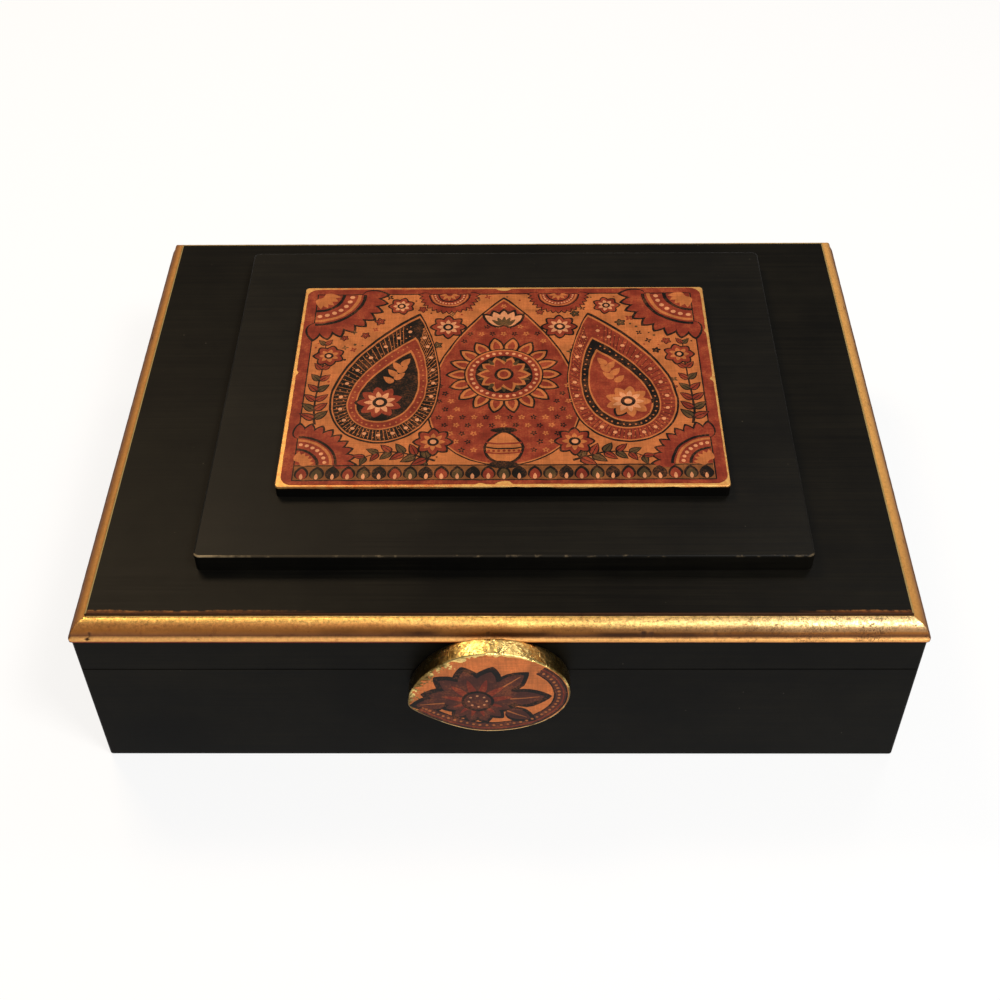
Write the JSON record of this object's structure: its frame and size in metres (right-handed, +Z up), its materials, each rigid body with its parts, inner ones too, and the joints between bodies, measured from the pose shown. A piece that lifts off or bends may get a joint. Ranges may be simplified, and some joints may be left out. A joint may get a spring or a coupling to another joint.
{
  "type": "lidded keepsake box",
  "caption": "Flat black lacquered wooden keepsake box with a hinged lid, gilded mouldings, a stepped panel with a printed plaque on top and an oval gilded pull at the front.",
  "frame": {"origin": "middle of the base's flat underside, where the box rests", "axes": "+X to the right along the box's width, +Y to the back where the hinges are, +Z up"},
  "size_m": [0.305, 0.2399, 0.0919],
  "materials": {
    "black_lacquer": "satin black lacquer on wood, brushed, a little worn on the edges",
    "gilded_wood": "worn gold leaf over a red ground on wood",
    "painted_board": "black sides and a gold painted rim",
    "printed_paper": "varnished print in ochre, dark red and near-black",
    "felt": "dark red wool felt",
    "plywood": "bare birch plywood",
    "brass": "aged brass",
    "steel": "plain steel"
  },
  "bodies": {
    "base": {"base_front_board": "black_lacquer", "base_back_board": "black_lacquer", "base_left_board": "black_lacquer", "base_right_board": "black_lacquer", "base_bottom_panel": "plywood", "base_floor_lining": "felt", "hinge_left_base_leaf": "brass", "hinge_right_base_leaf": "brass", "hinge_left_pin": "brass", "hinge_right_pin": "brass", "base_hinge_screws": "brass"},
    "lid": {"lid_front_rail": "black_lacquer", "lid_back_rail": "black_lacquer", "lid_left_rail": "black_lacquer", "lid_right_rail": "black_lacquer", "lid_top_panel": "black_lacquer", "lid_lining": "felt", "moulding_front": "gilded_wood", "moulding_back": "gilded_wood", "moulding_left": "gilded_wood", "moulding_right": "gilded_wood", "raised_panel": "black_lacquer", "plaque_board": "painted_board", "plaque_print": "printed_paper", "pull_body": "gilded_wood", "pull_print": "printed_paper", "pull_screws": "steel", "hinge_left_lid_leaf": "brass", "hinge_right_lid_leaf": "brass", "lid_hinge_screws": "brass"}
  },
  "joints": [
    {"name": "lid_hinge", "type": "hinge", "parent": "base", "child": "lid", "pos_m": [0, 0.112, 0.05415], "axis": [-1, 0, 0], "range_deg": [0, 100]}
  ]
}
